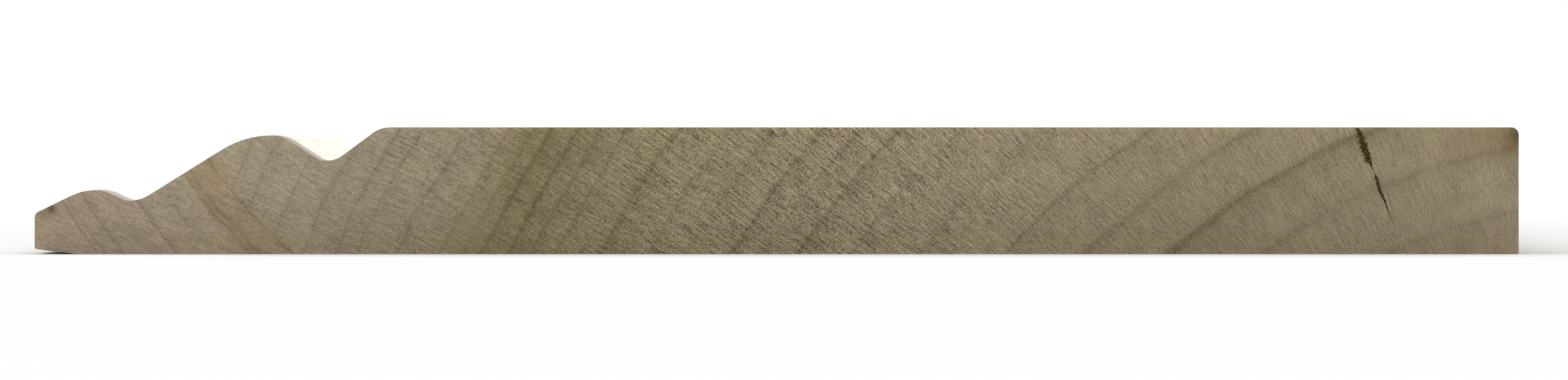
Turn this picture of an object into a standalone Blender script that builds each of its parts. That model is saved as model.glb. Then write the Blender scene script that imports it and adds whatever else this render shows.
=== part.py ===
"""A metre of moulded timber skirting board, lying flat on its back.

Metres, +Z up. X runs across the board, from the moulded cap edge at -X to the plain foot edge at +X.
Y runs along the board, and Z through its thickness, from the back at 0 up to the face.
The origin is the middle of the back.
"""

import math

import bmesh
import bpy
from mathutils import Matrix, Vector

# The board
BOARD_LENGTH = 1.000
BOARD_WIDTH = 0.222
BOARD_THICKNESS = 0.019

# The moulding, from the cap edge inwards. Depths are below the face, as the knives cut them.
CAP_EDGE_DEPTH = 0.0129
CAP_EDGE_ROUND = 0.0010
BEAD_FROM_EDGE = 0.0091
BEAD_DEPTH = 0.0094
BEAD_OUTER_RADIUS = 0.0083
BEAD_INNER_RADIUS = 0.0045
QUIRK_FROM_BEAD = 0.0049
QUIRK_DEPTH = 0.0110
QUIRK_OUTER_RADIUS = 0.0016
QUIRK_INNER_RADIUS = 0.0059
CROWN_FROM_QUIRK = 0.0215
CROWN_DEPTH = 0.0012
CROWN_OUTER_RADIUS = 0.0141
CROWN_INNER_RADIUS = 0.0046
HOLLOW_FROM_CROWN = 0.0081
HOLLOW_DEPTH = 0.0050
HOLLOW_OUTER_RADIUS = 0.0030
HOLLOW_INNER_RADIUS = 0.0042
FACE_FROM_HOLLOW = 0.0096
FACE_ROUND = 0.0044

# The other corners
FOOT_ROUND = 0.0011
BACK_ROUND = 0.0003
BACK_EASE_WIDTH = 0.0065
BACK_EASE_RISE = 0.0008

# The drying split in the near end, which opens at the face
SPLIT_FROM_FOOT = 0.0242
SPLIT_WIDTH = 0.0010
SPLIT_WIDEST_DEPTH = 0.0028
SPLIT_WOOD_LEFT = 0.0058
SPLIT_REACH = 0.045
SPLIT_LEAN = math.radians(20.5)

# How finely round stretches are cut, and how far the cutter stands out of the wood
ARC_STEP = math.radians(4.0)
CUTTER_OVERRUN = 0.002
WELD = 1e-6

PIECE_NAME = "skirting_board"
WOOD_COLOUR = (0.262, 0.194, 0.117, 1.0)
WOOD_ROUGHNESS = 0.72


def arc(centre, radius, start, sweep):
    """Points of an arc, both ends included. Angles are from +X towards +Z, and sweep has a sign."""
    steps = max(2, math.ceil(abs(sweep) / ARC_STEP))
    turns = [start + sweep * step / steps for step in range(steps + 1)]
    return [centre + radius * Vector((math.cos(turn), math.sin(turn))) for turn in turns]


def ogee(start, start_radius, end, end_radius):
    """Two arcs, level at start and at end, joined by the straight line that touches both.

    A start radius of 0 leaves a plain corner there. The radii are limited by the room between them.
    """
    run = end.x - start.x
    rise = abs(end.y - start.y)
    up = math.copysign(1.0, end.y - start.y)
    room = (run * run + rise * rise) / (2 * rise)
    fit = min(1.0, room / (start_radius + end_radius))
    first = start_radius * fit
    second = end_radius * fit
    both = first + second
    drop = rise - both
    slope = math.atan2(drop, run) + math.asin(min(1.0, both / math.hypot(run, drop)))
    points = [start]
    if first:
        points = arc(start + Vector((0, up * first)), first, -up * math.pi / 2, up * slope)
    over = end - Vector((0, up * second))
    return points + arc(over, second, up * (math.pi / 2 + slope), -up * slope)


def rounded(before, corner, after, radius):
    """Points of the arc that rounds off one corner between two straight runs."""
    one = (before - corner).normalized()
    two = (after - corner).normalized()
    half = one.angle(two) / 2
    room = 0.45 * min((before - corner).length, (after - corner).length)
    radius = min(radius, room * math.tan(half))
    centre = corner + (one + two).normalized() * (radius / math.sin(half))
    start = corner + one * (radius / math.tan(half)) - centre
    end = corner + two * (radius / math.tan(half)) - centre
    turn = math.atan2(start.x * end.y - start.y * end.x, start.dot(end))
    return arc(centre, radius, math.atan2(start.y, start.x), turn)


def moulding_run():
    """The moulded run from the top of the cap edge to the start of the flat face."""
    members = (
        (0.0, CAP_EDGE_DEPTH, 0.0, 0.0),
        (BEAD_FROM_EDGE, BEAD_DEPTH, BEAD_OUTER_RADIUS, BEAD_INNER_RADIUS),
        (QUIRK_FROM_BEAD, QUIRK_DEPTH, QUIRK_OUTER_RADIUS, QUIRK_INNER_RADIUS),
        (CROWN_FROM_QUIRK, CROWN_DEPTH, CROWN_OUTER_RADIUS, CROWN_INNER_RADIUS),
        (HOLLOW_FROM_CROWN, HOLLOW_DEPTH, HOLLOW_OUTER_RADIUS, HOLLOW_INNER_RADIUS),
        (FACE_FROM_HOLLOW, 0.0, FACE_ROUND, 0.0),
    )
    points = []
    place = Vector((-BOARD_WIDTH / 2, 0.0))
    leaving = 0.0
    for step, depth, outer, inner in members:
        reached = Vector((place.x + step, BOARD_THICKNESS - depth))
        if step:
            run = ogee(place, leaving, reached, outer)
            points += run[1:] if points else run
        place = reached
        leaving = inner
    return points


def board_outline():
    """The whole section as points in the X and Z plane, from the cap edge over the face to the back."""
    cap = -BOARD_WIDTH / 2
    foot = BOARD_WIDTH / 2
    moulding = moulding_run()
    cap_back = Vector((cap, BACK_EASE_RISE))
    back_start = Vector((cap + BACK_EASE_WIDTH, 0.0))
    foot_face = Vector((foot, BOARD_THICKNESS))
    foot_back = Vector((foot, 0.0))
    points = rounded(cap_back, moulding[0], moulding[1], CAP_EDGE_ROUND)
    points += moulding[1:]
    points += rounded(moulding[-1], foot_face, foot_back, FOOT_ROUND)
    points += rounded(foot_face, foot_back, back_start, BACK_ROUND)
    points.append(back_start)
    points += rounded(back_start, cap_back, moulding[0], BACK_ROUND)
    return points


def wood():
    """Bare planed timber."""
    material = bpy.data.materials.new("bare_timber")
    material.use_nodes = True
    shader = material.node_tree.nodes["Principled BSDF"]
    shader.inputs["Base Color"].default_value = WOOD_COLOUR
    shader.inputs["Roughness"].default_value = WOOD_ROUGHNESS
    shader.inputs["Metallic"].default_value = 0.0
    return material


def extruded_board(collection):
    """The section drawn as a flat curve, run out to the board's length and made a mesh."""
    outline = board_outline()
    curve = bpy.data.curves.new("board_section", "CURVE")
    curve.dimensions = "2D"
    curve.fill_mode = "BOTH"
    curve.extrude = BOARD_LENGTH / 2
    spline = curve.splines.new("POLY")
    spline.points.add(len(outline) - 1)
    for point, place in zip(spline.points, outline):
        point.co = (place.x, place.y, 0.0, 1.0)
    spline.use_cyclic_u = True
    drawn = bpy.data.objects.new("board_section", curve)
    drawn.rotation_euler.x = math.pi / 2
    collection.objects.link(drawn)
    bpy.context.view_layer.update()

    evaluated = drawn.evaluated_get(bpy.context.evaluated_depsgraph_get())
    mesh = bpy.data.meshes.new_from_object(evaluated)
    mesh.name = PIECE_NAME
    shell = bmesh.new()
    shell.from_mesh(mesh)
    bmesh.ops.remove_doubles(shell, verts=shell.verts, dist=WELD)
    bmesh.ops.recalc_face_normals(shell, faces=shell.faces)
    shell.to_mesh(mesh)
    shell.free()
    board = bpy.data.objects.new(PIECE_NAME, mesh)
    board.matrix_world = drawn.matrix_world
    collection.objects.link(board)
    bpy.data.objects.remove(drawn)
    return board


def split_cutter(collection):
    """A four-sided point that tapers into the end, thin across the split and tall along it."""
    along = (BOARD_THICKNESS - SPLIT_WOOD_LEFT) / math.cos(SPLIT_LEAN)
    half_height = along - SPLIT_WIDEST_DEPTH
    grow = (SPLIT_REACH + CUTTER_OVERRUN) / SPLIT_REACH
    shape = bmesh.new()
    depth = SPLIT_REACH + CUTTER_OVERRUN
    bmesh.ops.create_cone(
        shape, cap_ends=True, segments=4, radius1=1.0, radius2=0.0, depth=depth
    )
    size = Matrix.Diagonal((SPLIT_WIDTH / 2 * grow, half_height * grow, 1.0, 1.0))
    lay_down = Matrix.Rotation(-math.pi / 2, 4, "X")
    lean = Matrix.Rotation(-SPLIT_LEAN, 4, "Y")
    bmesh.ops.transform(shape, matrix=lean @ lay_down @ size, verts=shape.verts)
    bmesh.ops.remove_doubles(shape, verts=shape.verts, dist=WELD)
    bmesh.ops.recalc_face_normals(shape, faces=shape.faces)
    mesh = bpy.data.meshes.new("split_cutter")
    shape.to_mesh(mesh)
    shape.free()
    cutter = bpy.data.objects.new("split_cutter", mesh)
    mouth = Vector((BOARD_WIDTH / 2 - SPLIT_FROM_FOOT, 0.0, BOARD_THICKNESS))
    down = Vector((math.sin(SPLIT_LEAN), 0.0, -math.cos(SPLIT_LEAN)))
    cutter.location = mouth + down * SPLIT_WIDEST_DEPTH
    cutter.location.y = -BOARD_LENGTH / 2 - CUTTER_OVERRUN + depth / 2
    cutter.hide_render = True
    cutter.display_type = "WIRE"
    collection.objects.link(cutter)
    return cutter


def build():
    for old in list(bpy.data.objects):
        bpy.data.objects.remove(old)
    parts = bpy.data.collections.new("skirting board")
    cutters = bpy.data.collections.new("cutters")
    for collection in (parts, cutters):
        bpy.context.scene.collection.children.link(collection)

    board = extruded_board(parts)
    board.data.shade_smooth()
    board.data.set_sharp_from_angle(angle=math.radians(25.0))
    board.data.materials.clear()
    board.data.materials.append(wood())
    cut = board.modifiers.new("drying split", "BOOLEAN")
    cut.operation = "DIFFERENCE"
    cut.solver = "EXACT"
    cut.object = split_cutter(cutters)


build()
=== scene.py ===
"""The looks of a metre of bare tulipwood skirting board, lying on its back, seen at its sawn end."""

import math

import bmesh
import bpy
import numpy as np
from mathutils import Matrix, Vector, noise
from mathutils.geometry import delaunay_2d_cdt


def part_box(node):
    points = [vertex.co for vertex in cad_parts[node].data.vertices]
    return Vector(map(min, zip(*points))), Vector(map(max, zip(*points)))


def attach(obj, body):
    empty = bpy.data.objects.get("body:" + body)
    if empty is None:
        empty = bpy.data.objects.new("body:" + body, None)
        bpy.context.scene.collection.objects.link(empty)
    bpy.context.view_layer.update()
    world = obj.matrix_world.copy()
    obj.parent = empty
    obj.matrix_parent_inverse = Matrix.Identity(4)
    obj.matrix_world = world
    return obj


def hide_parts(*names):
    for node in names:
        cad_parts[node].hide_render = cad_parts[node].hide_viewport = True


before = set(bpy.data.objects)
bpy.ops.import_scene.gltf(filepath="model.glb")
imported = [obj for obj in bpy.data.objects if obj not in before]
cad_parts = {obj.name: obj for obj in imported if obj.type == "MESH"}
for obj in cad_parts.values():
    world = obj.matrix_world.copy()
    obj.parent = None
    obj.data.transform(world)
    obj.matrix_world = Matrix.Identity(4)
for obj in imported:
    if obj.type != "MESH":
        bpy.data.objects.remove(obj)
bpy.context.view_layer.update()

MM = 0.001
NODE = "skirting_board"
LOW, HIGH = (Vector(corner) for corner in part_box(NODE))
WIDTH = HIGH.x - LOW.x
LENGTH = HIGH.y - LOW.y
BACK_Z = LOW.z
NEAR_Y = LOW.y
FAR_Y = HIGH.y

# The camera looks square on at the near end, level with the face. Pixels are of a 2560 by 621 frame.
FRAME_PX = 2560
FRAME_HIGH_PX = 621
CAP_EDGE_PX = 56.5
FOOT_EDGE_PX = 2479.5
BACK_PX = 415.5
LENS_MM = 400.0
SENSOR_MM = 36.0
EYE_OVER_FACE = 0.02 * MM
MM_PER_PX = WIDTH / MM / (FOOT_EDGE_PX - CAP_EDGE_PX)

# How finely the surface is cut into faces
SECTION_STEP = 0.45 * MM
NEAR_END_STEP = 0.42 * MM
SPLIT_STEP = 0.16 * MM
SPLIT_FINE_REACH = 1.8 * MM
FAR_END_STEP = 1.1 * MM
RUN_ROWS_MM = (0, 0.3, 0.8, 1.6, 3, 6, 12, 20, 30, 40, 52, 70, 100, 150, 220, 300, 400, 500, 600, 700, 800)
FAR_ROWS = 12
WELD = 1e-6

# The drying split: depth below the face against width, both along and across its lean
SPLIT_FROM_FOOT = 24.2 * MM
SPLIT_LEAN = math.radians(20.5)
SPLIT_WIDTHS_MM = (
    (-1.5, 0.36),
    (0.0, 0.38),
    (1.6, 0.50),
    (3.1, 0.90),
    (4.6, 0.72),
    (5.8, 0.36),
    (6.5, 0.12),
    (7.0, 0.03),
    (7.5, 0.06),
    (8.1, 0.36),
    (9.4, 0.42),
    (11.2, 0.30),
    (12.9, 0.10),
    (15.2, 0.03),
)
# It narrows quickly behind the sawn end, and below the bridge of sound wood it is only a shallow tear
SPLIT_SLICES_MM = (-1.0, -0.05, 0.12, 0.3, 0.5, 0.75, 1.1, 1.6, 2.4, 3.8, 6.0, 10.0, 20.0, 45.0)
SPLIT_MOUTH_MM = 0.8
SPLIT_INNER_SHARE = 0.2
SPLIT_BRIDGE_MM = 7.0
SPLIT_SHALLOW_MM = 0.7
SPLIT_TEAR_MM = 0.5
SPLIT_LEAST_HALF_MM = 0.006
SPLIT_STEPS = 190
FIBRES = 620
FIBRES_FROM_TO = (0.6 * MM, 12.2 * MM)

# Edges sharper than this stay crisp
SHARP_ANGLE = math.radians(32)

# The flat layout for the export, in pixels of one square map: where each part starts, and its scale
BAKE_PX = 1024
LEFT_PX = 12
NEAR_END_PX = 8
NEAR_END_STRIP_PX = 190
FAR_END_PX = 388
RUN_PX = 486
SPLIT_PX = 984
SPLIT_WALL_PX = 460
FIBRES_LEFT_PX = 950
NEAR_END_PX_PER_MM = 9.0
FAR_END_PX_PER_MM = 4.5
RUN_PX_PER_MM = 0.92
SPLIT_PX_PER_MM = (9.5, 1.8)
FIBRES_PX_PER_MM = (8.0, 1.8)

# Where the tree's pith lay, and its growth rings: radius in mm, darkness, and how softly each fades inwards
PITH_X_MM = 133.0
PITH_Z_MM = -88.3
TAPER = 0.004
GROWTH_RINGS = (
    (236.0, 0.40, 0.9),
    (232.5, 0.35, 1.0),
    (227.0, 0.40, 0.9),
    (222.0, 0.45, 0.9),
    (217.5, 0.50, 1.0),
    (214.5, 0.40, 0.8),
    (209.0, 0.45, 1.2),
    (203.5, 0.50, 1.0),
    (200.5, 0.40, 1.0),
    (198.3, 0.85, 1.4),
    (194.8, 0.85, 1.3),
    (191.8, 0.50, 1.2),
    (188.4, 0.50, 1.0),
    (182.5, 0.60, 2.4),
    (176.0, 0.40, 1.2),
    (171.0, 0.42, 1.4),
    (165.2, 0.75, 1.5),
    (161.0, 0.45, 1.0),
    (156.6, 0.75, 1.6),
    (150.2, 0.35, 1.4),
    (142.2, 0.30, 1.6),
    (132.0, 0.60, 1.7),
    (123.6, 0.50, 2.6),
    (115.4, 1.00, 2.4),
    (106.8, 0.40, 2.6),
    (97.4, 0.35, 2.6),
)
# A ring's profile: how sharply it ends barkwards, its dark line's breadth as a share of its fade, and what
# part of its darkness lies in the line and in the fade
RING_EDGE_MM = 0.22
RING_LINE_BREADTH = 0.26
RING_LINE_PART = 0.55
RING_FADE_PART = 0.6

# The timber's tones: end grain and run by distance from the pith in mm, cap edge by share of its width
RAMP_FROM_MM = 75.0
RAMP_TO_MM = 240.0
END_TONES = (
    (75, "#8A7D67"),
    (100, "#8A7D65"),
    (115, "#887C62"),
    (136, "#8B7F66"),
    (152, "#897D64"),
    (165, "#877B62"),
    (178, "#867B5F"),
    (187, "#81765A"),
    (192, "#7E7356"),
    (197, "#7C7152"),
    (200.8, "#7F7456"),
    (203.6, "#897D64"),
    (207, "#8B7F68"),
    (216, "#8D816B"),
    (226, "#938772"),
    (240, "#938771"),
)
CAP_TONES = (
    (0.04, "#92836E"),
    (0.2, "#928471"),
    (0.34, "#958773"),
    (0.45, "#93846E"),
    (0.6, "#91836D"),
    (0.9, "#938772"),
)
RUN_TONES = (
    (75, "#9A8D74"),
    (130, "#9C8F75"),
    (170, "#988B70"),
    (187, "#8A8062"),
    (197, "#817857"),
    (201, "#8B8160"),
    (205, "#A1947C"),
    (240, "#A79A83"),
)
RUN_SAP_TONE = "#A69982"
# Painted shade: the grey laid over the run just behind the sawn end
NEAR_END_SHADE_TONE = "#696155"

# How strongly the saw tore the grain, by share of the width from the cap edge
TORN_GRAIN = (
    (0.03, 0.34),
    (0.12, 0.40),
    (0.21, 0.42),
    (0.25, 0.54),
    (0.33, 0.70),
    (0.37, 0.76),
    (0.41, 0.86),
    (0.45, 0.92),
    (0.50, 1.00),
    (0.58, 1.00),
    (0.62, 0.88),
    (0.66, 0.80),
    (0.70, 0.66),
    (0.83, 0.56),
    (0.87, 0.60),
    (0.94, 0.46),
)

# The planer's ripples, and the painted shade that greys the run behind the sawn end: where its fade starts
# and ends
KNIFE_PITCH_MM = 1.8
NEAR_END_FADE_MM = (15.0, 45.0)
NEAR_END_SHADE_STRENGTH = 0.85

# Painted highlights where the sawn end pales towards an arris, as an eased arris catching light would:
# height where it starts, height where it is full, and the tint
ARRIS_HIGHLIGHTS = (
    (18.3, 18.85, (1.09, 1.08, 1.06)),
    (0.55, 0.1, (1.07, 1.10, 1.20)),
)

# Stains on the near end: centre across and up, reach across, along and up, strength and tone.
# The first two run on over the faces, and the last two are local tones of the olive band.
STAINS_ON_RUN = 2
END_STAINS = (
    ((110.9, 17.5), (2.4, 3.0, 2.3), 1.0, "#584325"),
    ((-108.4, 6.8), (0.7, 1.5, 0.7), 0.95, "#4E3C28"),
    ((111.0, 18.0), (1.0, 1.5, 1.0), 0.8, "#3A2812"),
    ((108.0, 17.0), (5.6, 5.0, 3.0), 0.42, "#6E5A3A"),
    ((-109.6, 6.1), (1.9, 1.5, 0.9), 0.55, "#6B5A45"),
    ((-84.6, 12.2), (2.6, 2.0, 2.2), 0.3, "#8F7C54"),
    ((-78.3, 2.6), (2.4, 2.0, 2.0), 0.34, "#927A55"),
    ((-37.5, 15.5), (4.5, 2.0, 4.0), 0.3, "#6C6140"),
    ((-45.0, 4.0), (4.5, 2.0, 4.5), 0.4, "#8F8362"),
)

# The cap edge's timber grew round another centre, above the face, and meets the rest in a gold seam
SPUR_X_MM = -31.7
SPUR_Z_MM = 50.5
SPUR_EDGE_MM = 64.7
SPUR_ENDS_X_MM = -52.0
SEAM_FROM_TO_MM = (61.0, 71.0)
SEAM_DEPTH = (
    (0.10, 0.0),
    (0.32, 0.9),
    (0.78, 0.8),
    (0.92, 0.0),
)
SPUR_RINGS = (
    (86.4, 0.50, 0.7),
    (85.5, 0.40, 0.6),
    (83.2, 0.50, 0.8),
    (80.1, 0.30, 0.7),
    (77.0, 0.55, 0.8),
    (73.0, 0.30, 0.8),
    (69.0, 0.60, 0.6),
    (68.1, 0.55, 0.6),
    (64.9, 0.65, 0.6),
)

# The floor: how far it runs sideways and towards the camera, and where it ends behind, in metres
FLOOR_TONE = "#DFDFDE"
FLOOR_REACH = 12.0
FLOOR_BACK_Y = 4.5


def linear(code):
    """A colour's sRGB hex code as the linear values that a shader takes."""
    parts = [int(code[at : at + 2], 16) / 255 for at in (1, 3, 5)]
    return tuple(p / 12.92 if p <= 0.04045 else ((p + 0.055) / 1.055) ** 2.4 for p in parts) + (1.0,)


def add(tree, kind, links=(), out=0, **settings):
    """Adds a node with its settings, and links or sets its inputs. Returns one of its outputs."""
    made = tree.nodes.new(kind)
    for name, value in settings.items():
        setattr(made, name, value)
    for place, value in links.items() if isinstance(links, dict) else enumerate(links):
        if isinstance(value, bpy.types.NodeSocket):
            tree.links.new(value, made.inputs[place])
        elif value is not None:
            made.inputs[place].default_value = value
    return made.outputs[out]


def shape_ramp(socket, stops):
    """Sets a colour ramp's stops, each a place and a hex code or a grey value."""
    ramp = socket.node.color_ramp
    while len(ramp.elements) > 1:
        ramp.elements.remove(ramp.elements[0])
    for count, (place, tone) in enumerate(stops):
        stop = ramp.elements[0] if count == 0 else ramp.elements.new(place)
        stop.position = place
        stop.color = linear(tone) if isinstance(tone, str) else (tone, tone, tone, 1.0)
    return socket


def cad_section():
    """The section's outline from the frame, as points in order round it, in X and Z."""
    shell = bmesh.new()
    shell.from_mesh(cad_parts[NODE].data)
    bmesh.ops.remove_doubles(shell, verts=shell.verts, dist=WELD)
    near = 1e-5
    ring = {}
    for edge in shell.edges:
        if any(v.co.y < FAR_Y - near for v in edge.verts):
            continue
        flats = [all(v.co.y > FAR_Y - near for v in face.verts) for face in edge.link_faces]
        if all(flats):
            continue
        for one, two in (edge.verts, reversed(edge.verts)):
            ring.setdefault(one.index, []).append(two.index)
    shell.verts.ensure_lookup_table()
    start = max(ring, key=lambda i: (shell.verts[i].co.x - shell.verts[i].co.z))
    order = [start]
    came = None
    while True:
        onward = [i for i in ring[order[-1]] if i != came]
        came = order[-1]
        if onward[0] == start:
            break
        order.append(onward[0])
    points = [Vector((shell.verts[i].co.x, shell.verts[i].co.z)) for i in order]
    shell.free()
    return points


def cut_finely(points, step):
    """The closed outline with its long straight stretches cut into steps."""
    fine = []
    for here, there in zip(points, points[1:] + points[:1]):
        parts = max(1, math.ceil((there - here).length / step))
        fine += [here.lerp(there, part / parts) for part in range(parts)]
    return fine


def inner_points(outline, step, clear, seed, close_to_split=False):
    """Scattered points inside the section, no nearer to its outline than clear."""
    rng = np.random.default_rng(seed)
    xs = np.arange(LOW.x + step, HIGH.x, step)
    zs = np.arange(BACK_Z + step, HIGH.z, step)
    grid = np.stack(np.meshgrid(xs, zs), -1).reshape(-1, 2)
    grid = grid + rng.uniform(-0.28, 0.28, grid.shape) * step
    if close_to_split:
        grid = grid[np.abs(split_offset(grid)) < SPLIT_FINE_REACH]
    rim = np.array(outline)
    turned = np.roll(rim, -1, 0)
    crossings = np.zeros(len(grid), bool)
    nearest = np.full(len(grid), 1.0)
    for (ax, az), (bx, bz) in zip(rim, turned):
        if az != bz:
            spans = (az > grid[:, 1]) != (bz > grid[:, 1])
            crossings ^= spans & (grid[:, 0] < ax + (grid[:, 1] - az) * (bx - ax) / (bz - az))
        nearest = np.minimum(nearest, np.hypot(grid[:, 0] - ax, grid[:, 1] - az))
    return grid[crossings & (nearest > clear)]


def split_offset(places):
    """How far each X, Z place lies to the right of the split's leaning line."""
    mouth = HIGH.x - SPLIT_FROM_FOOT
    depth = HIGH.z - places[:, 1]
    return (places[:, 0] - mouth - depth * math.tan(SPLIT_LEAN)) * math.cos(SPLIT_LEAN)


def end_faces(outline, extra, y, outward):
    """The triangles that fill the section at one end."""
    places = [Vector(p) for p in outline] + [Vector(p) for p in extra]
    ring = list(range(len(outline)))
    verts, _, faces, _, _, _ = delaunay_2d_cdt(places, [], [ring], 1, 1e-9)
    points = [(v.x, y, v.y) for v in verts]
    filled = []
    for a, b, c in faces:
        va, vb, vc = verts[a], verts[b], verts[c]
        turning = (vb.x - va.x) * (vc.y - va.y) - (vb.y - va.y) * (vc.x - va.x)
        filled.append((a, b, c) if (turning > 0) == (outward < 0) else (a, c, b))
    return points, filled


def board_shell():
    """The board's plain surface, finely cut: both ends, and the run between them."""
    outline = cut_finely(cad_section(), SECTION_STEP)
    points, faces = [], []

    def take(new_points, new_faces):
        start = len(points)
        points.extend(new_points)
        faces.extend([tuple(start + i for i in face) for face in new_faces])

    near_grid = inner_points(outline, NEAR_END_STEP, 0.24 * MM, 3)
    near_grid = near_grid[np.abs(split_offset(near_grid)) >= SPLIT_FINE_REACH]
    split_grid = inner_points(outline, SPLIT_STEP, 0.12 * MM, 4, close_to_split=True)
    take(*end_faces(outline, np.concatenate([near_grid, split_grid]), NEAR_Y, -1))
    take(*end_faces(outline, inner_points(outline, FAR_END_STEP, 0.5 * MM, 5), FAR_Y, 1))

    rows = [NEAR_Y + row * MM for row in RUN_ROWS_MM]
    far_rows = [FAR_Y - row * MM for row in reversed(RUN_ROWS_MM[:FAR_ROWS])]
    rows += [y for y in far_rows if y > rows[-1]]
    count = len(outline)
    run_points = [(p.x, y, p.y) for y in rows for p in outline]
    run_faces = []
    for row in range(len(rows) - 1):
        for at in range(count):
            beside = (at + 1) % count
            run_faces.append(
                (row * count + at, row * count + beside, (row + 1) * count + beside, (row + 1) * count + at)
            )
    take(run_points, run_faces)

    mesh = bpy.data.meshes.new("board")
    mesh.from_pydata(points, [], faces)
    shell = bmesh.new()
    shell.from_mesh(mesh)
    bmesh.ops.remove_doubles(shell, verts=shell.verts, dist=WELD)
    bmesh.ops.recalc_face_normals(shell, faces=shell.faces)
    shell.to_mesh(mesh)
    shell.free()
    board = bpy.data.objects.new("board", mesh)
    bpy.context.scene.collection.objects.link(board)
    return board


def split_cutter():
    """The torn wedge that the split leaves empty."""
    depths, widths = zip(*SPLIT_WIDTHS_MM)
    top, tip = depths[0], depths[-1]
    down = Vector((math.sin(SPLIT_LEAN), 0.0, -math.cos(SPLIT_LEAN)))
    across = Vector((math.cos(SPLIT_LEAN), 0.0, math.sin(SPLIT_LEAN)))
    mouth = Vector((HIGH.x - SPLIT_FROM_FOOT, 0.0, HIGH.z))
    shell = bmesh.new()
    slices = []
    for slice_mm in SPLIT_SLICES_MM:
        y = NEAR_Y + slice_mm * MM
        inside = max(0.0, slice_mm)
        narrower = SPLIT_INNER_SHARE + (1 - SPLIT_INNER_SHARE) * math.exp(-inside / SPLIT_MOUTH_MM)
        shallow = max(0.0, 1 - inside / SPLIT_SHALLOW_MM)
        reach = float(np.interp(inside, (0.5, 1.1, SPLIT_SLICES_MM[-1]), (tip, SPLIT_BRIDGE_MM, 3.0)))
        loop_left, loop_right = [], []
        for step in range(SPLIT_STEPS + 1):
            depth = top + (reach - top) * step / SPLIT_STEPS
            open_share = narrower if depth < SPLIT_BRIDGE_MM else shallow
            half = max(SPLIT_LEAST_HALF_MM, float(np.interp(depth, depths, widths)) * 0.5 * open_share)
            wander = noise.noise(Vector((depth * 0.45, 2.0, y * 30))) * 0.22
            spots = Vector((depth * 3.4, 7.0, y * 400)), Vector((depth * 3.4, 19.0, y * 400))
            torn = [abs(noise.noise(s)) * 2.0 * SPLIT_TEAR_MM * min(1.0, half * 4) for s in spots]
            left = -half - torn[0] + wander
            right = half + torn[1] * 0.8 + wander
            centre = mouth + down * depth * MM
            for loop, side in ((loop_left, left), (loop_right, right)):
                place = centre + across * side * MM
                loop.append(shell.verts.new((place.x, y, place.z)))
        slices.append(loop_left + loop_right[::-1])
    for one, two in zip(slices, slices[1:]):
        for at in range(len(one)):
            beside = (at + 1) % len(one)
            shell.faces.new((one[at], one[beside], two[beside], two[at]))
    shell.faces.new(slices[0][::-1])
    shell.faces.new(slices[-1])
    bmesh.ops.triangulate(shell, faces=shell.faces)
    bmesh.ops.recalc_face_normals(shell, faces=shell.faces)
    mesh = bpy.data.meshes.new("split")
    shell.to_mesh(mesh)
    shell.free()
    cutter = bpy.data.objects.new("split", mesh)
    bpy.context.scene.collection.objects.link(cutter)
    return cutter


def open_split(board, split_wood):
    """Cuts the split out of the board, and leaves its walls in their own finish."""
    cutter = split_cutter()
    cutter.data.materials.append(split_wood)
    cut = board.modifiers.new("split", "BOOLEAN")
    cut.operation = "DIFFERENCE"
    cut.solver = "EXACT"
    cut.material_mode = "TRANSFER"
    cut.object = cutter
    bpy.context.view_layer.update()
    graph = bpy.context.evaluated_depsgraph_get()
    opened = bpy.data.meshes.new_from_object(board.evaluated_get(graph))
    board.modifiers.clear()
    board.data = opened
    bpy.data.objects.remove(cutter)


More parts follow.
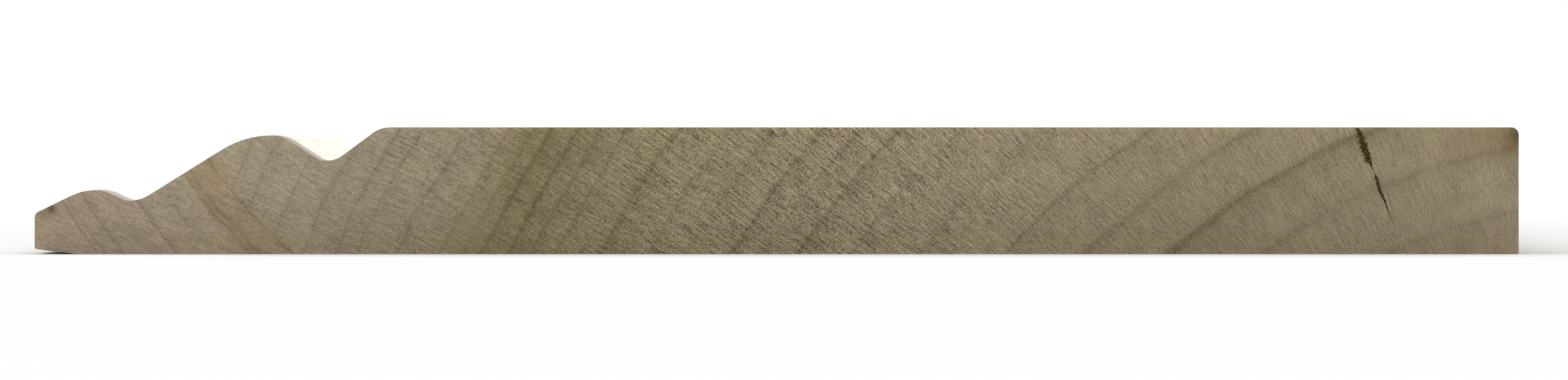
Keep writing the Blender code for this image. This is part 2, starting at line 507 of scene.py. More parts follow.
def relief_tree():
    """Geometry nodes: relief on the sawn ends, torn fibres across the split, and the finishes."""
    tree = bpy.data.node_groups.new("sawn end relief", "GeometryNodeTree")
    sockets = (
        ("Board", "NodeSocketGeometry", None),
        ("Grain Depth", "NodeSocketFloat", 0.05 * MM),
        ("Grain Size", "NodeSocketFloat", 1.1 * MM),
        ("Saw Depth", "NodeSocketFloat", 0.018 * MM),
        ("Saw Pitch", "NodeSocketFloat", 2.6 * MM),
        ("Fibre Count", "NodeSocketInt", FIBRES),
        ("Fibre Thickness", "NodeSocketFloat", 0.055 * MM),
        ("Fibre Length", "NodeSocketFloat", 0.6 * MM),
        ("Seed", "NodeSocketInt", 11),
        ("Sawn", "NodeSocketMaterial", None),
        ("Fibre", "NodeSocketMaterial", None),
    )
    for name, kind, value in sockets:
        made = tree.interface.new_socket(name, in_out="INPUT", socket_type=kind)
        if value is not None:
            made.default_value = value
    tree.interface.new_socket("Board", in_out="OUTPUT", socket_type="NodeSocketGeometry")
    given = tree.nodes.new("NodeGroupInput").outputs
    place = add(tree, "GeometryNodeInputPosition")
    along = add(tree, "ShaderNodeSeparateXYZ", [place], out="Y")
    from_middle = add(tree, "ShaderNodeMath", [along], operation="ABSOLUTE")
    facing = add(tree, "ShaderNodeMath", [along], operation="SIGN")
    at_end = add(tree, "FunctionNodeCompare", {"A": from_middle, "B": LENGTH / 2 - 0.01 * MM})

    size = add(tree, "ShaderNodeMath", [1.0, given["Grain Size"]], operation="DIVIDE")
    grain = add(tree, "ShaderNodeTexNoise", {"Vector": place, "Scale": size, "Detail": 3.0})
    grain_in = add(tree, "ShaderNodeMath", [grain, given["Grain Depth"]], operation="MULTIPLY")
    pitch = add(tree, "ShaderNodeMath", [math.pi / 10, given["Saw Pitch"]], operation="DIVIDE")
    strokes = add(
        tree, "ShaderNodeTexWave", {"Vector": place, "Scale": pitch, "Distortion": 1.5}, out="Fac"
    )
    strokes_in = add(tree, "ShaderNodeMath", [strokes, given["Saw Depth"]], operation="MULTIPLY")
    inward = add(tree, "ShaderNodeMath", [grain_in, strokes_in], operation="ADD")
    signed = add(tree, "ShaderNodeMath", [inward, facing], operation="MULTIPLY")
    back = add(tree, "ShaderNodeMath", [signed, -1.0], operation="MULTIPLY")
    shift = add(tree, "ShaderNodeCombineXYZ", {"Y": back})
    relieved = add(
        tree, "GeometryNodeSetPosition", {"Geometry": given["Board"], "Selection": at_end, "Offset": shift}
    )

    row = add(tree, "GeometryNodeMeshLine", {"Count": given["Fibre Count"], "Offset": (0.0, 0.0, 0.0)})
    order = add(tree, "GeometryNodeInputIndex")
    spread = add(
        tree,
        "FunctionNodeRandomValue",
        {0: (-0.5, 0.18, -0.2), 1: (0.5, 0.75, 0.2), "ID": order, "Seed": given["Seed"]},
        data_type="FLOAT_VECTOR",
    )
    spread_m = add(tree, "ShaderNodeVectorMath", {0: spread, "Scale": MM}, operation="SCALE")
    share = add(tree, "ShaderNodeMath", [order, given["Fibre Count"]], operation="DIVIDE")
    first, last = FIBRES_FROM_TO
    depth = add(tree, "ShaderNodeMath", [share, last - first, first], operation="MULTIPLY_ADD")
    mouth_x, mouth_z = HIGH.x - SPLIT_FROM_FOOT, HIGH.z
    along_x = add(tree, "ShaderNodeMath", [depth, math.sin(SPLIT_LEAN), mouth_x], operation="MULTIPLY_ADD")
    along_z = add(tree, "ShaderNodeMath", [depth, -math.cos(SPLIT_LEAN), mouth_z], operation="MULTIPLY_ADD")
    seat = add(tree, "ShaderNodeCombineXYZ", {"X": along_x, "Y": NEAR_Y, "Z": along_z})
    seated = add(tree, "ShaderNodeVectorMath", [seat, spread_m], operation="ADD")
    strung = add(tree, "GeometryNodeSetPosition", {"Geometry": row, "Position": seated})
    sliver = add(
        tree,
        "GeometryNodeMeshCone",
        {
            "Vertices": 5,
            "Side Segments": 2,
            "Radius Top": 0.0,
            "Radius Bottom": given["Fibre Thickness"],
            "Depth": given["Fibre Length"],
        },
    )
    turn = add(
        tree,
        "FunctionNodeRandomValue",
        {0: (-0.25, 1.2, 0.0), 1: (-0.02, 2.3, 0.3), "ID": order, "Seed": 29},
        data_type="FLOAT_VECTOR",
    )
    length = add(
        tree,
        "FunctionNodeRandomValue",
        {2: 0.55, 3: 1.35, "ID": order, "Seed": 5},
        out=1,
        data_type="FLOAT",
    )
    fibre = add(tree, "GeometryNodeSetMaterial", {"Geometry": sliver, "Material": given["Fibre"]})
    hung = add(
        tree,
        "GeometryNodeInstanceOnPoints",
        {"Points": strung, "Instance": fibre, "Rotation": turn, "Scale": length},
    )
    joined = tree.nodes.new("GeometryNodeJoinGeometry")
    for part in (hung, relieved):
        tree.links.new(part, joined.inputs[0])
    real = add(tree, "GeometryNodeRealizeInstances", [joined.outputs[0]])
    on_end = add(tree, "FunctionNodeCompare", {"A": from_middle, "B": LENGTH / 2 - 0.12 * MM})
    sawn = add(
        tree, "GeometryNodeSetMaterial", {"Geometry": real, "Selection": on_end, "Material": given["Sawn"]}
    )
    tree.links.new(sawn, tree.nodes.new("NodeGroupOutput").inputs[0])
    return tree


def worked_board(board, sawn_end, torn_fibres):
    """The board with its relief and torn fibres made real, as one plain mesh."""
    tree = relief_tree()
    relief = board.modifiers.new("sawn end relief", "NODES")
    relief.node_group = tree
    sockets = {item.name: item.identifier for item in tree.interface.items_tree if item.in_out == "INPUT"}
    relief[sockets["Sawn"]] = sawn_end
    relief[sockets["Fibre"]] = torn_fibres
    bpy.context.view_layer.update()
    graph = bpy.context.evaluated_depsgraph_get()
    mesh = bpy.data.meshes.new_from_object(board.evaluated_get(graph))
    bpy.data.objects.remove(board)
    mesh.materials.pop(index=list(mesh.materials).index(None))
    piece = bpy.data.objects.new("skirting_board_timber", mesh)
    bpy.context.scene.collection.objects.link(piece)
    mesh.shade_smooth()
    mesh.set_sharp_from_angle(angle=SHARP_ANGLE)
    return piece


def unroll(piece):
    """Lays the piece out flat for the export, each end at its own scale and the run unrolled."""
    mesh = piece.data
    points = np.empty(len(mesh.vertices) * 3)
    mesh.vertices.foreach_get("co", points)
    points = points.reshape(-1, 3)
    corners = np.empty(len(mesh.loops), int)
    mesh.loops.foreach_get("vertex_index", corners)
    kinds = np.empty(len(mesh.polygons), int)
    mesh.polygons.foreach_get("material_index", kinds)
    starts = np.empty(len(mesh.polygons), int)
    mesh.polygons.foreach_get("loop_start", starts)
    totals = np.empty(len(mesh.polygons), int)
    mesh.polygons.foreach_get("loop_total", totals)
    owner = np.repeat(np.arange(len(starts)), totals)
    names = [material.name for material in mesh.materials]
    place = points[corners] / MM
    middle = (np.add.reduceat(place, starts) / totals[:, None])[owner]
    end, torn, fibres = (
        kinds[owner] == names.index(name) for name in ("tulipwood_sawn_end", "split_wood", "torn_fibres")
    )
    near = middle[:, 1] < 0
    from_cap = place[:, 0] - LOW.x / MM
    from_back = place[:, 2] - BACK_Z / MM

    along = np.zeros(len(place))
    up = np.zeros(len(place))
    half = WIDTH / MM / 2
    for strip, chosen in enumerate((end & near & (middle[:, 0] < 0), end & near & (middle[:, 0] >= 0))):
        along[chosen] = LEFT_PX + (from_cap[chosen] - half * strip) * NEAR_END_PX_PER_MM
        up[chosen] = NEAR_END_PX + strip * NEAR_END_STRIP_PX + from_back[chosen] * NEAR_END_PX_PER_MM
    chosen = end & ~near
    along[chosen] = LEFT_PX + from_cap[chosen] * FAR_END_PX_PER_MM
    up[chosen] = FAR_END_PX + from_back[chosen] * FAR_END_PX_PER_MM

    rim = np.array(cad_section()) / MM
    onward = np.roll(rim, -1, 0) - rim
    lengths = np.hypot(*onward.T)
    before = np.concatenate([[0], np.cumsum(lengths)[:-1]])
    round_it = np.zeros(len(place))
    chosen = ~end & ~torn & ~fibres
    spots, back_to = np.unique(np.round(place[chosen][:, (0, 2)], 4), axis=0, return_inverse=True)
    offset = spots[:, None] - rim[None]
    share = np.clip((offset * onward).sum(2) / lengths**2, 0, 1)
    gap = np.hypot(*np.moveaxis(offset - share[..., None] * onward, 2, 0))
    nearest = gap.argmin(1)
    distance = before[nearest] + share[np.arange(len(spots)), nearest] * lengths[nearest]
    round_it[chosen] = distance[back_to.ravel()]
    perimeter = lengths.sum()
    biggest = np.maximum.reduceat(round_it, starts)[owner]
    round_it[chosen & (biggest - round_it > perimeter / 2)] += perimeter
    behind = place[:, 1] - NEAR_Y / MM
    along[chosen] = LEFT_PX + behind[chosen]
    up[chosen] = RUN_PX + round_it[chosen] * RUN_PX_PER_MM

    side = (split_offset(middle[:, (0, 2)] * MM) > 0).astype(float)
    along_scale, up_scale = SPLIT_PX_PER_MM
    along[torn] = LEFT_PX + side[torn] * SPLIT_WALL_PX + behind[torn] * along_scale
    up[torn] = SPLIT_PX + from_back[torn] * up_scale
    along_scale, up_scale = FIBRES_PX_PER_MM
    from_mouth = from_cap - (WIDTH - SPLIT_FROM_FOOT) / MM
    along[fibres] = FIBRES_LEFT_PX + from_mouth[fibres] * along_scale
    up[fibres] = SPLIT_PX + from_back[fibres] * up_scale

    layout = mesh.uv_layers.new(name="OFBake")
    layout.data.foreach_set("uv", (np.stack([along, up], 1) / BAKE_PX).ravel())


def growth_ring_group():
    """One growth ring: dark at its outer edge, fading towards the pith."""
    group = bpy.data.node_groups.new("growth ring", "ShaderNodeTree")
    for name in ("Radius", "Ring", "Darkness", "Fade"):
        group.interface.new_socket(name, in_out="INPUT", socket_type="NodeSocketFloat")
    group.interface.new_socket("Dark", in_out="OUTPUT", socket_type="NodeSocketFloat")
    given = group.nodes.new("NodeGroupInput").outputs
    inside = add(group, "ShaderNodeMath", [given["Ring"], given["Radius"]], operation="SUBTRACT")
    pithward = add(group, "ShaderNodeMath", [inside, 0.0], operation="MAXIMUM")
    faded = add(group, "ShaderNodeMath", [pithward, given["Fade"]], operation="DIVIDE")
    barkward = add(group, "ShaderNodeMath", [inside, 0.0], operation="MINIMUM")
    cut_off = add(group, "ShaderNodeMath", [barkward, -1 / RING_EDGE_MM, faded], operation="MULTIPLY_ADD")
    falling = add(group, "ShaderNodeMath", [cut_off, -1.0], operation="MULTIPLY")
    broad = add(group, "ShaderNodeMath", [falling], operation="EXPONENT")
    breadth = add(group, "ShaderNodeMath", [given["Fade"], RING_LINE_BREADTH], operation="MULTIPLY")
    nearby = add(group, "ShaderNodeMath", [inside, breadth], operation="DIVIDE")
    squared = add(group, "ShaderNodeMath", [nearby, nearby], operation="MULTIPLY")
    sinking = add(group, "ShaderNodeMath", [squared, -1.0], operation="MULTIPLY")
    line = add(group, "ShaderNodeMath", [sinking], operation="EXPONENT")
    line_part = add(group, "ShaderNodeMath", [line, RING_LINE_PART], operation="MULTIPLY")
    both = add(group, "ShaderNodeMath", [broad, RING_FADE_PART, line_part], operation="MULTIPLY_ADD")
    dark = add(group, "ShaderNodeMath", [both, given["Darkness"]], operation="MULTIPLY")
    group.links.new(dark, group.nodes.new("NodeGroupOutput").inputs[0])
    return group


def timber_group():
    """Where each point lay in the tree, in mm, and how dark the growth rings are there."""
    group = bpy.data.node_groups.new("timber", "ShaderNodeTree")
    for name in ("Place", "Along Rays", "Along Seam"):
        group.interface.new_socket(name, in_out="OUTPUT", socket_type="NodeSocketVector")
    for name in ("Radius", "Spur", "Rings"):
        group.interface.new_socket(name, in_out="OUTPUT", socket_type="NodeSocketFloat")
    coords = add(group, "ShaderNodeTexCoord", out="Object")
    place = add(group, "ShaderNodeVectorMath", {0: coords, "Scale": 1 / MM}, operation="SCALE")
    drawn = add(group, "ShaderNodeVectorMath", [place, (1.0, 0.04, 1.0)], operation="MULTIPLY")
    moved = drawn
    for size, sway in ((30.0, 2.6), (6.0, 0.8), (1.6, 0.25)):
        drift = add(
            group, "ShaderNodeTexNoise", {"Vector": drawn, "Scale": 1 / size, "Detail": 1.0}, out="Color"
        )
        centred = add(group, "ShaderNodeVectorMath", [drift, (0.5, 0.5, 0.5)], operation="SUBTRACT")
        sized = add(group, "ShaderNodeVectorMath", {0: centred, "Scale": sway}, operation="SCALE")
        moved = add(group, "ShaderNodeVectorMath", [moved, sized], operation="ADD")
    length = add(group, "ShaderNodeSeparateXYZ", [place], out="Y")
    taper = add(group, "ShaderNodeMath", [length, TAPER, TAPER * LENGTH / MM / 2], operation="MULTIPLY_ADD")

    found = []
    for x, z in ((PITH_X_MM, PITH_Z_MM), (SPUR_X_MM, SPUR_Z_MM)):
        away = add(group, "ShaderNodeVectorMath", [moved, (x, 0.0, z)], operation="SUBTRACT")
        flat = add(group, "ShaderNodeVectorMath", [away, (1.0, 0.0, 1.0)], operation="MULTIPLY")
        out = add(group, "ShaderNodeVectorMath", [flat], operation="LENGTH", out="Value")
        radius = add(group, "ShaderNodeMath", [out, taper], operation="ADD")
        sides = add(group, "ShaderNodeSeparateXYZ", [flat]).node.outputs
        angle = add(group, "ShaderNodeMath", [sides["Z"], sides["X"]], operation="ARCTAN2")
        arc = add(group, "ShaderNodeMath", [angle, math.hypot(x, z)], operation="MULTIPLY")
        found.append((radius, arc))
    (radius, arc), (spur_radius, spur_arc) = found

    across = add(group, "ShaderNodeSeparateXYZ", [moved], out="X")
    left = add(
        group,
        "ShaderNodeMapRange",
        {"Value": across, "From Min": SPUR_ENDS_X_MM + 2, "From Max": SPUR_ENDS_X_MM - 2},
    )
    beyond = add(
        group,
        "ShaderNodeMapRange",
        {"Value": spur_radius, "From Min": SPUR_EDGE_MM - 0.3, "From Max": SPUR_EDGE_MM + 0.3},
    )
    spur = add(group, "ShaderNodeMath", [left, beyond], operation="MULTIPLY")

    ring = growth_ring_group()
    totals = []
    for rings, where in ((GROWTH_RINGS, radius), (SPUR_RINGS, spur_radius)):
        total = 0.0
        for size, darkness, fade in rings:
            dark = add(group, "ShaderNodeGroup", [where, size, darkness, fade], node_tree=ring)
            total = add(group, "ShaderNodeMath", [total, dark], operation="ADD")
        totals.append(total)
    rings = add(group, "ShaderNodeMix", {0: spur, 2: totals[0], 3: totals[1]})

    ray_place = add(group, "ShaderNodeCombineXYZ", {"X": arc, "Y": length, "Z": radius})
    seam_place = add(group, "ShaderNodeCombineXYZ", {"X": spur_arc, "Y": length, "Z": spur_radius})
    ends = group.nodes.new("NodeGroupOutput")
    for name, socket in (
        ("Place", place),
        ("Along Rays", ray_place),
        ("Along Seam", seam_place),
        ("Radius", radius),
        ("Spur", spur),
        ("Rings", rings),
    ):
        group.links.new(socket, ends.inputs[name])
    return group


def stain_group():
    """A soft-edged stain round a centre, in mm: 1 in the middle, 0 outside."""
    group = bpy.data.node_groups.new("stain", "ShaderNodeTree")
    for name in ("Place", "Centre", "Reach"):
        group.interface.new_socket(name, in_out="INPUT", socket_type="NodeSocketVector")
    group.interface.new_socket("Mask", in_out="OUTPUT", socket_type="NodeSocketFloat")
    given = group.nodes.new("NodeGroupInput").outputs
    away = add(group, "ShaderNodeVectorMath", [given["Place"], given["Centre"]], operation="SUBTRACT")
    shared = add(group, "ShaderNodeVectorMath", [away, given["Reach"]], operation="DIVIDE")
    ragged = add(
        group, "ShaderNodeTexNoise", {"Vector": given["Place"], "Scale": 1.1, "Detail": 3.0}, out="Color"
    )
    centred = add(group, "ShaderNodeVectorMath", [ragged, (0.5, 0.5, 0.5)], operation="SUBTRACT")
    nudged = add(group, "ShaderNodeVectorMath", {0: centred, "Scale": 0.9}, operation="SCALE")
    frayed = add(group, "ShaderNodeVectorMath", [shared, nudged], operation="ADD")
    far = add(group, "ShaderNodeVectorMath", [frayed, frayed], operation="DOT_PRODUCT", out="Value")
    falling = add(group, "ShaderNodeMath", [far, -1.0], operation="MULTIPLY")
    mask = add(group, "ShaderNodeMath", [falling], operation="EXPONENT")
    group.links.new(mask, group.nodes.new("NodeGroupOutput").inputs[0])
    return group


def stained(tree, colour, place, stain, stains):
    """The colour with the given stains over it."""
    for centre, reach, strength, code in stains:
        seat = (centre[0], NEAR_Y / MM, centre[1])
        mask = add(tree, "ShaderNodeGroup", [place, seat, reach], node_tree=stain)
        amount = add(tree, "ShaderNodeMath", [mask, strength], operation="MULTIPLY")
        colour = add(
            tree, "ShaderNodeMix", {0: amount, 6: colour, 7: linear(code)}, data_type="RGBA", out=2
        )
    return colour


def sawn_end_material(timber, stain):
    """Tulipwood end grain, bare and crosscut: matt, grey-tan with an olive band, specked by the saw."""
    material = bpy.data.materials.new("tulipwood_sawn_end")
    material.use_nodes = True
    tree = material.node_tree
    tree.nodes.clear()
    wood = add(tree, "ShaderNodeGroup", node_tree=timber).node.outputs

    share = add(
        tree,
        "ShaderNodeMapRange",
        {"Value": wood["Radius"], "From Min": RAMP_FROM_MM, "From Max": RAMP_TO_MM},
    )
    heart = add(tree, "ShaderNodeValToRGB", [share])
    shape_ramp(heart, [((r - RAMP_FROM_MM) / (RAMP_TO_MM - RAMP_FROM_MM), code) for r, code in END_TONES])
    across = add(tree, "ShaderNodeSeparateXYZ", [wood["Place"]], out="X")
    along_cap = add(
        tree,
        "ShaderNodeMapRange",
        {"Value": across, "From Min": LOW.x / MM, "From Max": SPUR_ENDS_X_MM},
    )
    sap = add(tree, "ShaderNodeValToRGB", [along_cap])
    shape_ramp(sap, CAP_TONES)
    colour = add(tree, "ShaderNodeMix", {0: wood["Spur"], 6: heart, 7: sap}, data_type="RGBA", out=2)

    # Faint pinkish and greenish drifts, and lighter and darker ones
    hue = add(tree, "ShaderNodeTexNoise", {"Vector": wood["Place"], "Scale": 1 / 9.0, "Detail": 3.0})
    hue_share = add(tree, "ShaderNodeMapRange", [hue, 0.36, 0.64])
    tint = add(
        tree,
        "ShaderNodeMix",
        {0: hue_share, 6: (1.015, 0.99, 0.985, 1.0), 7: (0.98, 1.0, 0.965, 1.0)},
        data_type="RGBA",
        out=2,
    )
    colour = add(tree, "ShaderNodeVectorMath", [colour, tint], operation="MULTIPLY")
    blotch = add(
        tree,
        "ShaderNodeTexNoise",
        {"Vector": wood["Place"], "Scale": 1 / 4.5, "Detail": 4.0, "Roughness": 0.66},
    )
    blotch_tone = add(tree, "ShaderNodeMapRange", [blotch, 0.25, 0.75, 0.86, 1.14])

    # The saw's torn specks are coarsest over the middle of the board
    torn_share = add(tree, "ShaderNodeMapRange", [across, LOW.x / MM, HIGH.x / MM])
    torn = shape_ramp(add(tree, "ShaderNodeValToRGB", [torn_share]), TORN_GRAIN)
    # Torn pores 0.2 mm wide, drawn out a little along the rays, then the rays themselves as long thin lines
    pores = 0.0
    for stretch, low, high, depth in (
        ((4.9, 0.1, 3.9), 0.25, 0.75, 0.60),
        ((2.3, 0.1, 1.7), 0.25, 0.75, 0.28),
        ((3.4, 0.1, 0.50), 0.3, 0.7, 0.31),
        ((2.8, 0.1, 0.13), 0.3, 0.7, 0.22),
    ):
        drawn = add(tree, "ShaderNodeVectorMath", [wood["Along Rays"], stretch], operation="MULTIPLY")
        flecks = add(tree, "ShaderNodeTexNoise", {"Vector": drawn, "Scale": 1.0, "Detail": 1.0})
        lift = add(tree, "ShaderNodeMapRange", [flecks, low, high, -depth, depth])
        pores = add(tree, "ShaderNodeMath", [pores, lift], operation="ADD")
    torn_part = add(tree, "ShaderNodeMath", [pores, torn], operation="MULTIPLY")
    tone = add(tree, "ShaderNodeMath", [torn_part, blotch_tone], operation="ADD")
    colour = add(tree, "ShaderNodeVectorMath", {0: colour, "Scale": tone}, operation="SCALE")

    patch_place = add(
        tree, "ShaderNodeVectorMath", [wood["Along Rays"], (0.09, 0.1, 0.2)], operation="MULTIPLY"
    )
    patches = add(tree, "ShaderNodeTexNoise", {"Vector": patch_place, "Scale": 1.0, "Detail": 2.0})
    patch_share = add(tree, "ShaderNodeMapRange", [patches, 0.3, 0.7, 0.95, 1.25])
    ring_share = add(tree, "ShaderNodeMath", [wood["Rings"], patch_share], operation="MULTIPLY")
    ring_tint = add(
        tree,
        "ShaderNodeMix",
        {0: ring_share, 6: (1.0, 1.0, 1.0, 1.0), 7: (0.66, 0.63, 0.57, 1.0)},
        data_type="RGBA",
        out=2,
    )
    colour = add(tree, "ShaderNodeVectorMath", [colour, ring_tint], operation="MULTIPLY")

    # The gold seam's fibres run along it
    seam_radius = add(tree, "ShaderNodeSeparateXYZ", [wood["Along Seam"]], out="Z")
    seam_share = add(tree, "ShaderNodeMapRange", [seam_radius, *SEAM_FROM_TO_MM])
    seam = shape_ramp(add(tree, "ShaderNodeValToRGB", [seam_share]), SEAM_DEPTH)
    fibre_place = add(
        tree, "ShaderNodeVectorMath", [wood["Along Seam"], (0.16, 0.1, 1.5)], operation="MULTIPLY"
    )
    fibres = add(tree, "ShaderNodeTexNoise", {"Vector": fibre_place, "Scale": 1.0, "Detail": 3.0})
    streak = add(tree, "ShaderNodeMapRange", [fibres, 0.35, 0.65, 0.25, 1.75])
    seam_side = add(tree, "ShaderNodeMath", [across, SPUR_ENDS_X_MM], operation="LESS_THAN")
    seam_streak = add(tree, "ShaderNodeMath", [streak, seam_side], operation="MULTIPLY")
    seam_part = add(tree, "ShaderNodeMath", [seam, seam_streak], operation="MULTIPLY")
    seam_tint = add(
        tree,
        "ShaderNodeMix",
        {0: seam_part, 6: (1.0, 1.0, 1.0, 1.0), 7: (0.955, 0.92, 0.85, 1.0)},
        data_type="RGBA",
        out=2,
    )
    colour = add(tree, "ShaderNodeVectorMath", [colour, seam_tint], operation="MULTIPLY")

    # Painted highlights: both arrises are a little paler, as eased arrises catching light would be: the
    # face's for half a millimetre, the back's greyer and finer, standing in for light thrown up from the
    # floor
    up = add(tree, "ShaderNodeSeparateXYZ", [wood["Place"]], out="Z")
    for sound, arris, tint in ARRIS_HIGHLIGHTS:
        highlight_share = add(tree, "ShaderNodeMapRange", [up, sound, arris])
        arris_highlight = add(
            tree,
            "ShaderNodeMix",
            {0: highlight_share, 6: (1.0, 1.0, 1.0, 1.0), 7: (*tint, 1.0)},
            data_type="RGBA",
            out=2,
        )
        colour = add(tree, "ShaderNodeVectorMath", [colour, arris_highlight], operation="MULTIPLY")
    colour = stained(tree, colour, wood["Place"], stain, END_STAINS)

    bump = add(tree, "ShaderNodeBump", {"Strength": 0.4, "Distance": 0.05 * MM, "Height": torn_part})
    shader = add(
        tree,
        "ShaderNodeBsdfPrincipled",
        {"Base Color": colour, "Roughness": 0.86, "IOR": 1.5, "Normal": bump},
    )
    tree.links.new(shader, tree.nodes.new("ShaderNodeOutputMaterial").inputs[0])
    return material


def planed_run_material(timber, stain):
    """Machine-planed tulipwood, bare: smooth and pale, with fine straight grain and faint knife ripples."""
    material = bpy.data.materials.new("tulipwood_planed_run")
    material.use_nodes = True
    tree = material.node_tree
    tree.nodes.clear()
    wood = add(tree, "ShaderNodeGroup", node_tree=timber).node.outputs

    share = add(tree, "ShaderNodeMapRange", [wood["Radius"], RAMP_FROM_MM, RAMP_TO_MM])
    heart = add(tree, "ShaderNodeValToRGB", [share])
    shape_ramp(heart, [((r - RAMP_FROM_MM) / (RAMP_TO_MM - RAMP_FROM_MM), code) for r, code in RUN_TONES])
    sap = linear(RUN_SAP_TONE)
    colour = add(tree, "ShaderNodeMix", {0: wood["Spur"], 6: heart, 7: sap}, data_type="RGBA", out=2)

    tone = 1.0
    for stretch, depth in (((0.25, 0.004, 0.25), 0.10), ((1.8, 0.03, 1.8), 0.12), ((5.0, 0.12, 5.0), 0.10)):
        drawn = add(tree, "ShaderNodeVectorMath", [wood["Place"], stretch], operation="MULTIPLY")
        streaks = add(tree, "ShaderNodeTexNoise", {"Vector": drawn, "Scale": 1.0, "Detail": 2.0})
        lift = add(tree, "ShaderNodeMapRange", [streaks, 0.25, 0.75, -depth, depth])
        tone = add(tree, "ShaderNodeMath", [tone, lift], operation="ADD")
    vessel_place = add(tree, "ShaderNodeVectorMath", [wood["Place"], (4.0, 0.4, 4.0)], operation="MULTIPLY")
    vessels = add(tree, "ShaderNodeTexNoise", {"Vector": vessel_place, "Scale": 1.0, "Detail": 0.0})
    vessel_sink = add(tree, "ShaderNodeMapRange", [vessels, 0.66, 0.76, 0.0, -0.22])
    tone = add(tree, "ShaderNodeMath", [tone, vessel_sink], operation="ADD")
    colour = add(tree, "ShaderNodeVectorMath", {0: colour, "Scale": tone}, operation="SCALE")
    ring_tint = add(
        tree,
        "ShaderNodeMix",
        {0: wood["Rings"], 6: (1.0, 1.0, 1.0, 1.0), 7: (0.78, 0.72, 0.62, 1.0)},
        data_type="RGBA",
        out=2,
    )
    colour = add(tree, "ShaderNodeVectorMath", [colour, ring_tint], operation="MULTIPLY")
    along = add(tree, "ShaderNodeSeparateXYZ", [wood["Place"]], out="Y")
    near_end_share = add(
        tree,
        "ShaderNodeMapRange",
        [along, *(NEAR_Y / MM + reach for reach in NEAR_END_FADE_MM), 1.0, 0.0],
        interpolation_type="SMOOTHSTEP",
    )
    # Painted shade: the run is greyed over its first few centimetres behind the sawn end
    painted_shade_share = add(tree, "ShaderNodeMath", [near_end_share, NEAR_END_SHADE_STRENGTH], operation="MULTIPLY")
    colour = add(
        tree, "ShaderNodeMix", {0: painted_shade_share, 6: colour, 7: linear(NEAR_END_SHADE_TONE)}, data_type="RGBA", out=2
    )
    colour = stained(tree, colour, wood["Place"], stain, END_STAINS[:STAINS_ON_RUN])

    ripple = add(
        tree,
        "ShaderNodeTexWave",
        {"Vector": wood["Place"], "Scale": math.pi / 10 / KNIFE_PITCH_MM, "Distortion": 0.2},
        bands_direction="Y",
        out="Fac",
    )
    planed = add(tree, "ShaderNodeMath", [ripple, 0.35, tone], operation="MULTIPLY_ADD")
    # Next to the sawn end the grain is raised and rubbed dull
    fuzz = add(tree, "ShaderNodeTexNoise", {"Vector": wood["Place"], "Scale": 2.2, "Detail": 2.0})
    raised = add(tree, "ShaderNodeMath", [fuzz, near_end_share], operation="MULTIPLY")
    height = add(tree, "ShaderNodeMath", [raised, 9.0, planed], operation="MULTIPLY_ADD")
    bump = add(tree, "ShaderNodeBump", {"Strength": 0.35, "Distance": 0.03 * MM, "Height": height})
    sheen_share = add(tree, "ShaderNodeMapRange", [tone, 0.8, 1.2, 0.8, 0.66])
    roughness = add(tree, "ShaderNodeMix", {0: near_end_share, 2: sheen_share, 3: 0.95})
    shader = add(
        tree,
        "ShaderNodeBsdfPrincipled",
        {
            "Base Color": colour,
            "Roughness": roughness,
            "IOR": 1.5,
            "Specular IOR Level": 0.3,
            "Normal": bump,
        },
    )
    tree.links.new(shader, tree.nodes.new("ShaderNodeOutputMaterial").inputs[0])
    return material


def split_material(name, tones_from_dark):
    """Torn wood in a drying split: browned with dust and dead matt, its fibres running along the board."""
    material = bpy.data.materials.new(name)
    material.use_nodes = True
    tree = material.node_tree
    tree.nodes.clear()
    coords = add(tree, "ShaderNodeTexCoord", out="Object")
    drawn = add(
        tree, "ShaderNodeVectorMath", [coords, (2.4 / MM, 0.2 / MM, 2.4 / MM)], operation="MULTIPLY"
    )
    fibres = add(tree, "ShaderNodeTexNoise", {"Vector": drawn, "Scale": 1.0, "Detail": 3.0})
    tones = add(tree, "ShaderNodeValToRGB", [fibres])
    shape_ramp(tones, list(zip((0.3, 0.5, 0.72), tones_from_dark)))
    bump = add(tree, "ShaderNodeBump", {"Strength": 0.8, "Distance": 0.08 * MM, "Height": fibres})
    shader = add(tree, "ShaderNodeBsdfPrincipled", {"Base Color": tones, "Roughness": 0.95, "Normal": bump})
    tree.links.new(shader, tree.nodes.new("ShaderNodeOutputMaterial").inputs[0])
    return material


def studio_floor():
    """A plain pale floor."""
    mesh = bpy.data.meshes.new("floor")
    reach = FLOOR_REACH
    sides = ((-reach, -reach), (reach, -reach), (reach, FLOOR_BACK_Y), (-reach, FLOOR_BACK_Y))
    mesh.from_pydata([(x, y, BACK_Z) for x, y in sides], [], [(0, 1, 2, 3)])
    floor = bpy.data.objects.new("studio_floor", mesh)
    bpy.context.scene.collection.objects.link(floor)
    material = bpy.data.materials.new("white_paper_sweep")
    material.use_nodes = True
    tree = material.node_tree
    tree.nodes.clear()
    shader = add(tree, "ShaderNodeBsdfDiffuse", {"Color": linear(FLOOR_TONE), "Roughness": 0.6})
    tree.links.new(shader, tree.nodes.new("ShaderNodeOutputMaterial").inputs[0])
    mesh.materials.append(material)
    return floor


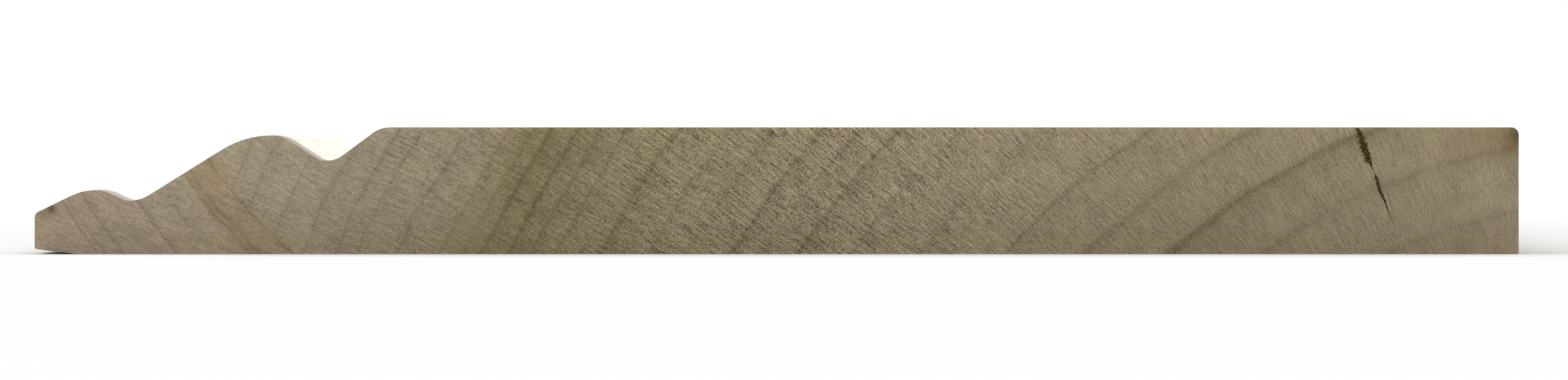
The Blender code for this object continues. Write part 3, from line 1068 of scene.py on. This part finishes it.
def soft_light(name, place, aim, size, power):
    """A rectangular softbox."""
    lamp = bpy.data.lights.new(name, "AREA")
    lamp.shape = "RECTANGLE"
    lamp.size, lamp.size_y = size
    lamp.energy = power
    light = bpy.data.objects.new(name, lamp)
    light.location = place
    light.rotation_euler = (Vector(aim) - Vector(place)).to_track_quat("-Z", "Y").to_euler()
    bpy.context.scene.collection.objects.link(light)


def pale_studio():
    """A white surround, a weak softbox in front, and a broad one behind that throws the shadow forwards."""
    world = bpy.data.worlds.new("white surround")
    world.use_nodes = True
    backdrop = world.node_tree.nodes["Background"]
    backdrop.inputs["Color"].default_value = (1.0, 1.0, 1.0, 1.0)
    backdrop.inputs["Strength"].default_value = 1.0
    bpy.context.scene.world = world
    bpy.context.scene.view_settings.view_transform = "Standard"
    soft_light("softbox_front", (-0.4, -2.8, 1.8), (0, -1.2, 0), (1.2, 1.2), 7)
    soft_light("softbox_behind", (-1.6, 12.1, 5.0), (0, NEAR_Y, 0), (14.0, 5.2), 4000)


def photo_camera():
    """The photograph's view: square on to the near end, level with the face, from well back."""
    lens = bpy.data.cameras.new("camera")
    lens.lens = LENS_MM
    lens.sensor_width = SENSOR_MM
    lens.sensor_fit = "HORIZONTAL"
    lens.clip_end = 100
    camera = bpy.data.objects.new("camera", lens)
    bpy.context.scene.collection.objects.link(camera)
    middle_x = LOW.x + (FRAME_PX / 2 - CAP_EDGE_PX) * MM_PER_PX * MM
    middle_z = BACK_Z + (BACK_PX - FRAME_HIGH_PX / 2) * MM_PER_PX * MM
    back = LENS_MM / SENSOR_MM * FRAME_PX * MM_PER_PX * MM
    camera.location = (middle_x, NEAR_Y - back, HIGH.z + EYE_OVER_FACE)
    aim = Vector((middle_x, NEAR_Y, middle_z))
    camera.rotation_euler = (aim - camera.location).to_track_quat("-Z", "Y").to_euler()
    bpy.context.scene.camera = camera


timber = timber_group()
stain = stain_group()
sawn_end = sawn_end_material(timber, stain)
planed_run = planed_run_material(timber, stain)
split_wood = split_material("split_wood", ("#4F3B18", "#6F5830", "#967C4C"))
torn_fibres = split_material("torn_fibres", ("#4A3818", "#63502C", "#84704A"))

board = board_shell()
board.data.materials.append(planed_run)
open_split(board, split_wood)
piece = worked_board(board, sawn_end, torn_fibres)
unroll(piece)
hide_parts(NODE)
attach(piece, "root")

floor = studio_floor()
pale_studio()
photo_camera()
